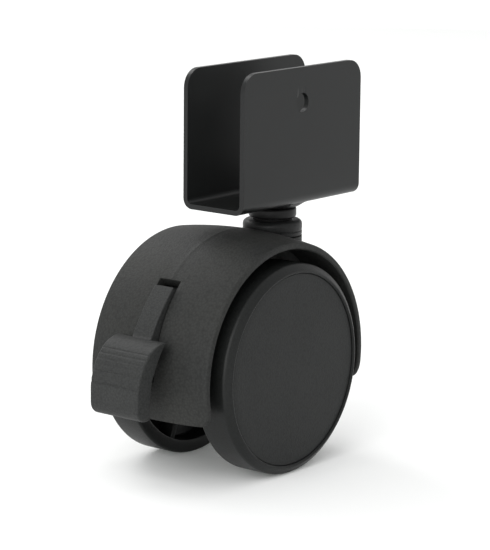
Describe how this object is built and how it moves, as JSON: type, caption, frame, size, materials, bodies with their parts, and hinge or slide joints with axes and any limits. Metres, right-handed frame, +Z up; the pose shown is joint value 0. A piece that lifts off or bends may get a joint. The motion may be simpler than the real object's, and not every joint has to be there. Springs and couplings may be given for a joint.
{
  "type": "furniture caster wheel",
  "caption": "Hooded twin-wheel swivel caster with a front brake lever and a steel U-channel bracket that clamps on a panel's lower edge.",
  "frame": {"origin": "on the swivel axis, in the plane of the bracket's floor where the panel's lower edge sits", "axes": "+Z up along the swivel axis, +Y along the axle to the left wheel, +X the way the caster rolls; the wheels trail on the -X side, where the brake lever is"},
  "size_m": [0.0799, 0.0398, 0.0938],
  "materials": {
    "bracket_coat": "smooth semi-gloss black coat on sheet steel",
    "stem_steel": "turned steel, blackened, satin",
    "bare_steel": "bright zinc-plated steel",
    "housing_nylon": "moulded black nylon, fine matte grain",
    "lever_nylon": "moulded black nylon, matte, slightly lighter",
    "wheel_nylon": "moulded black nylon, satin tread",
    "cap_nylon": "moulded black nylon, satin face",
    "bush_acetal": "dark grey acetal"
  },
  "bodies": {
    "bracket": {"u_bracket": "bracket_coat", "swivel_stem": "stem_steel", "stem_snap_ring": "bare_steel"},
    "hood_assembly": {"housing": "housing_nylon", "stem_bush": "bush_acetal", "thrust_disc": "bare_steel", "axle": "bare_steel", "hub_washer_left": "bush_acetal", "hub_washer_right": "bush_acetal", "axle_clip_left": "bare_steel", "axle_clip_right": "bare_steel", "brake_pin": "bare_steel", "brake_leaf_spring": "bare_steel"},
    "lever": {"brake_lever": "lever_nylon"},
    "left_wheel": {"wheel_left": "wheel_nylon", "hub_bush_left": "bush_acetal", "wheel_cap_left": "cap_nylon"},
    "right_wheel": {"wheel_right": "wheel_nylon", "hub_bush_right": "bush_acetal", "wheel_cap_right": "cap_nylon"}
  },
  "joints": [
    {"name": "swivel", "type": "hinge", "parent": "bracket", "child": "hood_assembly", "pos_m": [0, 0, 0], "axis": [0, 0, 1], "continuous": true},
    {"name": "left_wheel_spin", "type": "hinge", "parent": "hood_assembly", "child": "left_wheel", "pos_m": [-0.016, 0.015, -0.037], "axis": [0, 1, 0], "continuous": true},
    {"name": "right_wheel_spin", "type": "hinge", "parent": "hood_assembly", "child": "right_wheel", "pos_m": [-0.016, -0.015, -0.037], "axis": [0, 1, 0], "continuous": true},
    {"name": "brake_press", "type": "hinge", "parent": "hood_assembly", "child": "lever", "pos_m": [-0.03487, 0, -0.0206], "axis": [0, -1, 0], "range_deg": [0, 13]}
  ]
}
